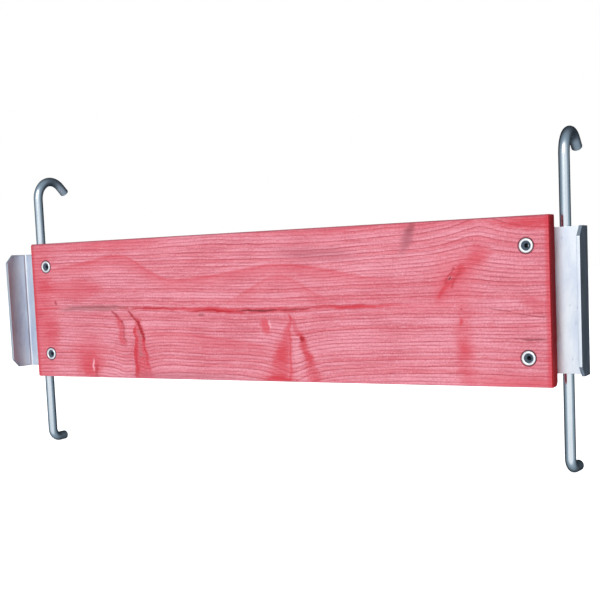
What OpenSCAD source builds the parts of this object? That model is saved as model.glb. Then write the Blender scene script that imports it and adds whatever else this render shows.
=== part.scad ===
// Hook-on end toe board for a facade scaffold.
//
// One stained softwood board carries a bent sheet bracket on the back of each end. Two hollow
// rivets hold each bracket, and a bent round bar is welded to the back of each bracket: its
// upper end hooks over the scaffold and its lower end is a short foot.
//
// X runs along the board, +Y points to the back, where the hooks are, and Z is up.
// The origin is the centre of the board's front face. All sizes are in millimetres.

/* [Board] */
// Length of the board
board_l = 600; // [400:5:1200]
// Height of the board
board_h = 150; // [120:1:250]
// Thickness of the board
board_t = 16; // [12:0.5:30]
// Rounding of the two long edges at the front
front_round = 2; // [0.5:0.5:5]
// Rounding of the bottom edge at the back
back_round = 5; // [0.5:0.5:7]
// Rounding of the top edge at the back
back_round_top = 1; // [0.5:0.5:7]

/* [End brackets] */
// Thickness of the sheet
sheet_t = 3; // [1.5:0.5:5]
// How far a bracket stops short of the board's top and bottom edges
bracket_margin = 11; // [0:1:25]
// How far a bracket reaches past the end of the board, to its outer face
overhang = 29; // [24:0.5:80]
// How far the back leg of a bracket overlaps the board
overlap = 42; // [35:1:120]
// Depth of the flange, to the outside of the back leg
flange_d = 30; // [24:0.5:70]
// Inside radius of the bend
bend_r = 2; // [0.5:0.5:6]
// Cut across the two free corners of the flange, at 45 degrees
corner_cut = 9; // [1:0.5:12]

/* [Hollow rivets] */
// Distance from a rivet's axis to the end of the board
rivet_inset = 21; // [14:0.5:25]
// Distance from a rivet's axis to the nearer end of the bracket
rivet_edge = 15; // [12:0.5:25]
// Outside diameter of the shank
shank_d = 10; // [6:0.5:12]
// Wall of the shank
shank_wall = 1; // [0.5:0.25:2]
// Diameter of the rolled heads
head_d = 13; // [12.5:0.5:18]
// Height of the straight foot under the half-round of a head
head_foot = 0.35; // [0.1:0.05:1]
// How deep the front head sits in the wood
head_sink = 0.8; // [0.2:0.1:2]
// Width of the crushed ring of wood round a front head
crush_w = 0.8; // [0.3:0.1:2]

/* [Hook rods] */
// Diameter of the round bar
rod_d = 10; // [6:0.5:14]
// Distance from the bar's axis to the end of the board
rod_offset = 7.5; // [0:0.5:16]
// Height of the top of the hook above the board's top edge
hook_rise = 78; // [50:1:200]
// Radius of the hook's bend, to the bar's axis
hook_r = 21.5; // [10:0.5:60]
// Angle that the hook is bent through
hook_angle = 132; // [90:1:175]
// Straight end of the hook, after its bend
hook_end = 10; // [4:0.5:60]
// Depth of the foot below the board's bottom edge
foot_drop = 80; // [40:1:200]
// Radius of the foot's bend, to the bar's axis
foot_r = 10; // [8:0.5:40]
// Straight end of the foot, after its square bend
foot_end = 9; // [3:0.5:60]
// Chamfer on the cut ends of the bar
bar_chamfer = 0.6; // [0.2:0.1:1.5]

/* [Welds] */
// Length of a weld bead
weld_l = 30; // [10:1:35]
// Distance from a bead to the nearer end of the bracket
weld_inset = 6; // [2:1:12]
// How far a bead spreads over the sheet past the side of the bar
weld_leg = 3.4; // [1.5:0.1:6]

/* [Hidden] */
$fn = 96;

// Clearance of a rivet's shank in its holes, on the radius
shank_gap = 0.1;
// Clearance between the bar, the sheet and the weld metal
weld_gap = 0.1;
// Half-width of the unfilled root under the bar
weld_root = 1.5;
// A straight end is thinner than its bend by this much on the radius, and starts inside it
end_step = 0.05;
end_lap = 0.5;
// How far a cutting tool runs past the face that it cuts
over = 1;

end_x = board_l / 2;
bracket_h = board_h - 2 * bracket_margin;
back_y = board_t + sheet_t;
outer_x = end_x + overhang;
free_y = back_y - flange_d;
outer_bend_r = bend_r + sheet_t;

rivet_x = end_x - rivet_inset;
rivet_z = bracket_h / 2 - rivet_edge;
shank_r = shank_d / 2;
bore_r = shank_r - shank_wall;
head_r = head_d / 2;
head_round = (head_r - bore_r) / 2;
hole_r = shank_r + shank_gap;

rod_r = rod_d / 2;
rod_x = end_x + rod_offset;
rod_y = back_y + rod_r + weld_gap;
hook_z = board_h / 2 + hook_rise - rod_r - hook_r;
foot_z = -board_h / 2 - foot_drop + rod_r + foot_r;

// The children on the right end of the object, or mirrored to its left end.
module at_end(right) {
    if (right) children();
    else mirror([1, 0, 0]) children();
}

// Extrudes an outline drawn in Y and Z along X, centred.
module along_x(length) {
    rotate([90, 0, 90]) linear_extrude(length, center = true) children();
}

// Turns a shape made along +Z so that it runs along +Y from the height y.
module along_y(x, y, z) {
    translate([x, y, z]) rotate([-90, 0, 0]) children();
}

// What a rounding takes off the corner at the origin of the first quadrant.
module corner_waste(r) {
    difference() {
        translate([-over, -over]) square(r + over);
        translate([r, r]) circle(r);
    }
}

// ---- board ----

module board_section() {
    difference() {
        translate([0, -board_h / 2]) square([board_t, board_h]);
        for (up = [0, 1]) mirror([0, up]) translate([0, -board_h / 2]) {
            corner_waste(front_round);
            translate([board_t, 0]) mirror([1, 0]) corner_waste(up == 1 ? back_round_top : back_round);
        }
    }
}

module board() {
    color([0.86, 0.42, 0.46]) difference() {
        along_x(board_l) board_section();
        for (sx = [-1, 1], sz = [-1, 1]) {
            along_y(sx * rivet_x, -over, sz * rivet_z) cylinder(h = board_t + 2 * over, r = hole_r);
            along_y(sx * rivet_x, -over, sz * rivet_z) cylinder(h = over + head_sink, r = head_r + crush_w);
        }
    }
}

// ---- end brackets ----

// The bent sheet seen from above, for the right end.
module bracket_section() {
    translate([end_x - overlap, board_t]) square([overlap + overhang - outer_bend_r, sheet_t]);
    translate([outer_x - sheet_t, free_y]) square([sheet_t, flange_d - outer_bend_r]);
    translate([outer_x - outer_bend_r, back_y - outer_bend_r]) intersection() {
        difference() {
            circle(outer_bend_r);
            circle(bend_r);
        }
        square(outer_bend_r);
    }
}

// The corner that is cut off the free edge of the flange at its upper end.
module corner_cutter() {
    translate([outer_x, 0, 0]) along_x(2 * overhang) polygon([
        [free_y - over, bracket_h / 2 - corner_cut - over],
        [free_y + corner_cut + over, bracket_h / 2 + over],
        [free_y - over, bracket_h / 2 + over]
    ]);
}

module bracket(right) {
    color([0.80, 0.83, 0.87]) at_end(right) difference() {
        linear_extrude(bracket_h, center = true) bracket_section();
        corner_cutter();
        mirror([0, 0, 1]) corner_cutter();
        for (sz = [-1, 1])
            along_y(rivet_x, board_t - over, sz * rivet_z) cylinder(h = sheet_t + 2 * over, r = hole_r);
    }
}

// ---- hollow rivets ----

// Half of a rolled head in radius and height: a half-round on a straight foot.
module head_section() {
    translate([bore_r, 0]) square([2 * head_round, head_foot]);
    translate([bore_r + head_round, head_foot]) intersection() {
        circle(head_round);
        translate([-head_round, 0]) square(2 * head_round);
    }
}

// The rivet along +Z from the seat of its front head to the seat of its back head.
module rivet(right, up) {
    grip = back_y - head_sink;
    color([0.92, 0.94, 0.95]) at_end(right)
        along_y(rivet_x, head_sink, up ? rivet_z : -rivet_z) rotate_extrude() {
            translate([bore_r, 0]) square([shank_wall, grip]);
            mirror([0, 1]) head_section();
            translate([0, grip]) head_section();
        }
}

// ---- hook rods ----

// A straight bar end along +Z with a chamfered cut face.
module bar_end(length) {
    r = rod_r - end_step;
    translate([0, 0, -end_lap]) cylinder(h = length + end_lap - bar_chamfer, r = r);
    translate([0, 0, length - bar_chamfer]) cylinder(h = bar_chamfer, r1 = r, r2 = r - bar_chamfer);
}

// A bar that leaves the origin along +Z, bends towards +Y and ends in a straight length.
module bent_end(radius, angle, straight) {
    translate([0, radius, 0]) rotate([90, 0, -90])
        rotate_extrude(angle = angle) translate([radius, 0]) circle(rod_r);
    translate([0, radius * (1 - cos(angle)), radius * sin(angle)])
        rotate([-angle, 0, 0]) bar_end(straight);
}

module hook_rod(right) {
    color([0.74, 0.79, 0.84]) at_end(right) translate([rod_x, rod_y, 0]) {
        translate([0, 0, foot_z]) cylinder(h = hook_z - foot_z, r = rod_r);
        translate([0, 0, hook_z]) bent_end(hook_r, hook_angle, hook_end);
        translate([0, 0, foot_z]) mirror([0, 0, 1]) bent_end(foot_r, 90, foot_end);
    }
}

// ---- welds ----

// One fillet bead between the sheet, along the lower edge, and the side of the bar.
module bead_section() {
    bed = rod_r + weld_gap;
    difference() {
        polygon([
            [weld_root, 0],
            [rod_r + weld_leg, 0],
            [bed, bed],
            [weld_root, bed]
        ]);
        translate([0, bed]) circle(bed);
    }
}

// The pair of beads that hold the bar near one end of a bracket.
module weld(right, up) {
    middle = bracket_h / 2 - weld_inset - weld_l / 2;
    color([0.66, 0.69, 0.72]) at_end(right)
        translate([rod_x, back_y, up ? middle : -middle])
            linear_extrude(weld_l, center = true)
                for (side = [0, 1]) mirror([side, 0]) bead_section();
}

board();
bracket(false);  // bracket_left
bracket(true);  // bracket_right
hook_rod(false);  // hook_rod_left
hook_rod(true);  // hook_rod_right
rivet(false, true);  // rivet_left_top
rivet(false, false);  // rivet_left_bottom
rivet(true, true);  // rivet_right_top
rivet(true, false);  // rivet_right_bottom
weld(false, true);  // weld_left_top
weld(false, false);  // weld_left_bottom
weld(true, true);  // weld_right_top
weld(true, false);  // weld_right_bottom
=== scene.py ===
"""Looks of a hook-on end toe board for a facade scaffold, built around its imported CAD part.

A stained softwood board carries a bent sheet bracket on the back of each end. Hollow rivets hold the
brackets, and a bent round bar is welded to the back of each bracket. Sizes in this file are in
millimetres unless a name ends in _m, and every mesh is written in metres in the CAD frame: X along the
board, +Y to the back, Z up.
"""

import logging
import math
from dataclasses import dataclass
from enum import Enum
from typing import Any, Sequence, Union

import bmesh
import bpy
from mathutils import Matrix, Vector, noise


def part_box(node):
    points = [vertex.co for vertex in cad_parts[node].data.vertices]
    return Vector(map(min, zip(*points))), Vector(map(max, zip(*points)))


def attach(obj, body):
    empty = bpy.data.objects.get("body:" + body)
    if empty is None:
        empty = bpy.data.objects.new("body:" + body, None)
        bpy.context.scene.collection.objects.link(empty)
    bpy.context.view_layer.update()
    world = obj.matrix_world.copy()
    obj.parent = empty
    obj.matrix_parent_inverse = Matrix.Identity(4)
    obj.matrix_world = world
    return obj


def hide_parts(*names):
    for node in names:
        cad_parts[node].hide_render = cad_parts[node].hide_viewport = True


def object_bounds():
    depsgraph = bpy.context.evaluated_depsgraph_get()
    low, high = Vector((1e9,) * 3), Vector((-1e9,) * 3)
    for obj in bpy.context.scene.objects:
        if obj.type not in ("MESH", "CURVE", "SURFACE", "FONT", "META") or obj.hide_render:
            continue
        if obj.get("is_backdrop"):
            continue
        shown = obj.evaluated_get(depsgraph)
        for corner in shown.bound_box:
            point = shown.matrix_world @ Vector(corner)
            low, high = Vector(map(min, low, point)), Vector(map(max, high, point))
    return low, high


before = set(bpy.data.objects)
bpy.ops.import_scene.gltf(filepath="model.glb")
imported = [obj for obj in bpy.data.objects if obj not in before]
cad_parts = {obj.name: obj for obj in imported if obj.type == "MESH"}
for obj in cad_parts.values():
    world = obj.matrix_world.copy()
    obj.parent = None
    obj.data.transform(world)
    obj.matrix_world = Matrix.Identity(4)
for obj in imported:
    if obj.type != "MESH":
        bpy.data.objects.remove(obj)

LOG = logging.getLogger("toe_board")
MM = 0.001
CUT_PAST = 1.0
HALVES = (0.5, 0.5, 0.5)
BODY = "root"

Number = Union[float, int, "Value"]
Point = tuple[float, float, float]
Spot = tuple["Value", "Value", "Value"]
Outline = list[tuple[float, float]]


# ---- small tools ----


def linear(red: int, green: int, blue: int) -> tuple[float, float, float, float]:
    """Turns a display colour into the linear one that a shader takes.

    Args:
        red, green, blue: The colour, from 0 to 255.

    Returns:
        The linear colour with an alpha of 1.
    """

    def channel(value: int) -> float:
        """One channel, from the sRGB curve."""
        share = value / 255
        return share / 12.92 if share <= 0.04045 else ((share + 0.055) / 1.055) ** 2.4

    return (channel(red), channel(green), channel(blue), 1.0)


@dataclass(frozen=True)
class Box:
    """The box of a CAD node, in millimetres."""

    low: Vector
    high: Vector

    @classmethod
    def of(cls, node: str) -> "Box":
        """The box of the named CAD node."""
        low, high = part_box(node)
        return cls(low / MM, high / MM)

    @property
    def centre(self) -> Vector:
        """The middle of the box."""
        return (self.low + self.high) / 2

    @property
    def size(self) -> Vector:
        """The lengths of the box's sides."""
        return self.high - self.low


class Outputs:
    """The output sockets of one node, looked up by identifier or name."""

    def __init__(self, graph: "Graph", node: bpy.types.Node) -> None:
        """Keeps the node and the graph that it is in."""
        self.graph = graph
        self.node = node

    def __getitem__(self, key: str) -> "Value":
        """The output with that identifier, or else that name."""
        return Value(self.graph, find_socket(self.node.outputs, key))


def find_socket(sockets: Any, key: Union[str, int]) -> bpy.types.NodeSocket:
    """Finds a socket of a node.

    Args:
        sockets: The node's inputs or outputs.
        key: An index, an identifier or a name.

    Returns:
        The socket.
    """
    if isinstance(key, int):
        return sockets[key]
    for socket in sockets:
        if socket.identifier == key:
            return socket
    return sockets[key]


class Value:
    """A node's output socket that takes part in Python expressions."""

    def __init__(self, graph: "Graph", socket: bpy.types.NodeSocket) -> None:
        """Keeps the socket and the graph that it is in."""
        self.graph = graph
        self.socket = socket

    def math(self, operation: str, *others: Number) -> "Value":
        """The result of a Math node on this value and the others."""
        return self.graph.math(operation, self, *others)

    def __add__(self, other: Number) -> "Value":
        """self + other."""
        return self.math("ADD", other)

    def __radd__(self, other: Number) -> "Value":
        """other + self."""
        return self.graph.math("ADD", other, self)

    def __sub__(self, other: Number) -> "Value":
        """self - other."""
        return self.math("SUBTRACT", other)

    def __rsub__(self, other: Number) -> "Value":
        """other - self."""
        return self.graph.math("SUBTRACT", other, self)

    def __mul__(self, other: Number) -> "Value":
        """self * other."""
        return self.math("MULTIPLY", other)

    def __rmul__(self, other: Number) -> "Value":
        """other * self."""
        return self.graph.math("MULTIPLY", other, self)

    def __truediv__(self, other: Number) -> "Value":
        """self / other."""
        return self.math("DIVIDE", other)

    def __rtruediv__(self, other: Number) -> "Value":
        """other / self."""
        return self.graph.math("DIVIDE", other, self)

    def __pow__(self, other: Number) -> "Value":
        """self to the power of other."""
        return self.math("POWER", other)

    def __abs__(self) -> "Value":
        """The size of self, without its sign."""
        return self.math("ABSOLUTE")

    def smooth(self, start: float, end: float) -> "Value":
        """A soft step from 0 at start to 1 at end; start may be the larger."""
        inputs = {"Value": self, "From Min": start, "From Max": end}
        return self.graph.node("ShaderNodeMapRange", {"interpolation_type": "SMOOTHSTEP"}, inputs)["Result"]


class Graph:
    """A node tree that is built by method calls, for shaders and for geometry."""

    def __init__(self, tree: bpy.types.NodeTree) -> None:
        """Empties the tree and keeps it."""
        tree.nodes.clear()
        self.tree = tree

    def node(
        self,
        kind: str,
        settings: dict[str, Any] | None = None,
        inputs: dict[Union[str, int], Any] | None = None,
    ) -> Outputs:
        """Adds one node.

        Args:
            kind: The node's type.
            settings: Its properties; "stops" fills a ramp and "points" a curve.
            inputs: Values or links for its input sockets, by index, identifier or name.

        Returns:
            The node's outputs.
        """
        made = self.tree.nodes.new(kind)
        for name, value in (settings or {}).items():
            if name == "stops":
                self._fill_ramp(made.color_ramp, value)
            elif name == "points":
                self._fill_curve(made.mapping, value)
            else:
                setattr(made, name, value)
        for key, value in (inputs or {}).items():
            socket = find_socket(made.inputs, key)
            if isinstance(value, Value):
                self.tree.links.new(value.socket, socket)
            else:
                socket.default_value = value
        return Outputs(self, made)

    @staticmethod
    def _fill_ramp(ramp: bpy.types.ColorRamp, stops: Sequence[tuple[float, Sequence[float]]]) -> None:
        """Gives a ramp its stops, each a position and a colour."""
        while len(ramp.elements) < len(stops):
            ramp.elements.new(1.0)
        for element, (position, colour) in zip(ramp.elements, stops):
            element.position = position
            element.color = colour

    @staticmethod
    def _fill_curve(mapping: bpy.types.CurveMapping, points: Sequence[tuple[float, float]]) -> None:
        """Gives a float curve its points, each an input and an output from 0 to 1."""
        curve = mapping.curves[0]
        while len(curve.points) < len(points):
            curve.points.new(0.5, 0.5)
        for point, place in zip(curve.points, points):
            point.location = place
        mapping.update()

    def math(self, operation: str, *values: Number) -> Value:
        """The result of a Math node on numbers and values."""
        return self.node("ShaderNodeMath", {"operation": operation}, dict(enumerate(values)))["Value"]

    def vector(self, operation: str, *values: Any) -> Outputs:
        """The outputs of a Vector Math node."""
        return self.node("ShaderNodeVectorMath", {"operation": operation}, dict(enumerate(values)))

    def scaled(self, vector: Any, factor: Number) -> Value:
        """A vector times a number or a value."""
        inputs = {0: vector, "Scale": factor}
        return self.node("ShaderNodeVectorMath", {"operation": "SCALE"}, inputs)["Vector"]

    def xyz(self, x: Number, y: Number, z: Number) -> Value:
        """A vector from three numbers or values."""
        return self.node("ShaderNodeCombineXYZ", None, {"X": x, "Y": y, "Z": z})["Vector"]

    def split(self, vector: Value) -> tuple[Value, Value, Value]:
        """The three parts of a vector."""
        parts = self.node("ShaderNodeSeparateXYZ", None, {"Vector": vector})
        return parts["X"], parts["Y"], parts["Z"]

    def mix(self, factor: Number, first: Any, second: Any) -> Value:
        """Mixes two colours.

        Args:
            factor: How much of the second colour.
            first, second: Linear colours or colour values.

        Returns:
            The mixed colour.
        """
        inputs = {"Factor_Float": factor, "A_Color": first, "B_Color": second}
        return self.node("ShaderNodeMix", {"data_type": "RGBA"}, inputs)["Result_Color"]

    def noises(self, vector: Value, scale: float = 1.0, detail: float = 2.0, rough: float = 0.5) -> Outputs:
        """Soft noise at a vector: a number about 0.5 as Fac, and three of them as Color."""
        inputs = {"Vector": vector, "Scale": scale, "Detail": detail, "Roughness": rough}
        return self.node("ShaderNodeTexNoise", {"noise_dimensions": "3D"}, inputs)

    def noise(self, vector: Value, scale: float = 1.0, detail: float = 2.0, rough: float = 0.5) -> Value:
        """Soft noise about 0.5 at a vector."""
        return self.noises(vector, scale, detail, rough)["Fac"]

    def curve(self, value: Value, low: float, high: float, points: Sequence[tuple[float, float]]) -> Value:
        """A smooth curve through given points.

        Args:
            value: The input.
            low, high: The range of the inputs, and of the outputs too.
            points: Pairs of input and output within that range.

        Returns:
            The output.
        """
        span = high - low
        shares = [((a - low) / span, (b - low) / span) for a, b in points]
        share = (value - low) / span
        found = self.node("ShaderNodeFloatCurve", {"points": shares}, {"Factor": 1.0, "Value": share})
        return found["Value"] * span + low


# ---- finishes ----


class Finish:
    """A procedural finish that fills one material."""

    slot = ""

    def make(self) -> bpy.types.Material:
        """Builds the material.

        Returns:
            The finished material.
        """
        material = bpy.data.materials.new(self.slot)
        material.use_nodes = True
        graph = Graph(material.node_tree)
        shader = self.shade(graph)
        graph.node("ShaderNodeOutputMaterial", None, {"Surface": shader})
        return material

    def shade(self, graph: Graph) -> Value:
        """Fills the graph and returns the shader for its surface."""
        raise NotImplementedError

    @staticmethod
    def place(graph: Graph) -> Value:
        """The point being shaded, in millimetres in the CAD frame."""
        point = graph.node("ShaderNodeTexCoord")["Object"]
        return graph.vector("MULTIPLY", point, (1 / MM, 1 / MM, 1 / MM))["Vector"]

    @staticmethod
    def bump(graph: Graph, height: Value, depth: float) -> Value:
        """The normal over a height from 0 to 1, for a relief of that depth in millimetres."""
        inputs = {"Strength": 1.0, "Distance": depth * MM, "Height": height}
        return graph.node("ShaderNodeBump", None, inputs)["Normal"]


class Tint(Enum):
    """Colours of the red stain on spruce, from thin to thick, and of what weather did to it."""

    CHALK = (224, 166, 177)
    PALE = (217, 142, 155)
    ROSE = (204, 119, 132)
    LINE = (158, 62, 76)
    BRIGHT = (198, 78, 90)
    RED = (190, 48, 60)
    DEEP = (150, 24, 34)
    BROWN = (128, 52, 58)
    SOOT = (104, 38, 44)
    DUSTY = (170, 108, 114)
    SMUDGE = (166, 94, 106)
    END = (166, 30, 38)
    END_DARK = (128, 14, 22)
    FRESH = (214, 120, 84)

    @property
    def colour(self) -> tuple[float, float, float, float]:
        """The linear colour."""
        return linear(*self.value)


class Mark:
    """Something that shows in the wood with a frayed rim."""

    strength: float
    soft: float
    RIM = 1.15
    FRAY = 1.3

    def shown(self, reach: Value, fray: Value) -> Value:
        """How strongly the mark shows at a reach of 0 in its middle and 1 at its rim."""
        return (reach + fray * self.FRAY).smooth(self.RIM, self.RIM - self.soft) * self.strength


@dataclass(frozen=True)
class Stain(Mark):
    """A soft patch of colour in the wood: an ellipsoid with frayed edges."""

    x: float
    z: float
    half_x: float
    half_z: float
    tint: Tint
    strength: float = 0.8
    tilt: float = 0.0
    soft: float = 0.7
    y: float = 0.0
    depth: float = 5.0

    def lay(self, graph: Graph, place: Value, fray: Value, colour: Value) -> Value:
        """Lays the patch over a colour.

        Args:
            graph: The graph to add to.
            place: The point being shaded, warped along the grain.
            fray: Noise about 0 that thins the patch here and there.
            colour: The colour so far.

        Returns:
            The colour with the patch on it.
        """
        inputs = {
            "Vector": place,
            "Location": (self.x, self.y, self.z),
            "Rotation": (0, -math.radians(self.tilt), 0),
            "Scale": (self.half_x, self.depth, self.half_z),
        }
        local = graph.node("ShaderNodeMapping", {"vector_type": "TEXTURE"}, inputs)["Vector"]
        reach = graph.vector("LENGTH", local)["Value"]
        return graph.mix(self.shown(reach, fray), colour, self.tint.colour)


@dataclass(frozen=True)
class Spike(Mark):
    """One straight run of a branch that the trunk grew round: a cone along the grain's plane."""

    base: Point
    tip: Point
    base_r: float
    tip_r: float
    tint: Tint
    strength: float = 0.8
    soft: float = 0.8
    specks: float = 0.0

    def lay(self, graph: Graph, place: Value, fray: Value, colour: Value) -> Value:
        """Lays the run over a colour.

        Args:
            graph: The graph to add to.
            place: The point being shaded, warped along the grain.
            fray: Noise about 0 that thins the run here and there.
            colour: The colour so far.

        Returns:
            The colour with the run in it.
        """
        base = Vector(self.base)
        run = Vector(self.tip) - base
        from_base = graph.vector("SUBTRACT", place, tuple(base))["Vector"]
        along = graph.vector("DOT_PRODUCT", from_base, tuple(run / run.length_squared))["Value"]
        share = along.math("MAXIMUM", 0.0).math("MINIMUM", 1.0)
        off_axis = graph.vector("SUBTRACT", from_base, graph.scaled(tuple(run), share))["Vector"]
        radius = share * (self.tip_r - self.base_r) + self.base_r
        body = self.shown(graph.vector("LENGTH", off_axis)["Value"] / radius, fray)
        colour = graph.mix(body, colour, self.tint.colour)
        if self.specks:
            dots = graph.noise(place, 0.8, 1.0).smooth(0.56, 0.68) * body * self.specks
            colour = graph.mix(dots, colour, Tint.DEEP.colour)
        return colour


@dataclass(frozen=True)
class Swell:
    """How the growth rings swell outwards past a branch."""

    x: float
    width: float
    gain: float
    up: bool
    lean: float = 0.0


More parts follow.
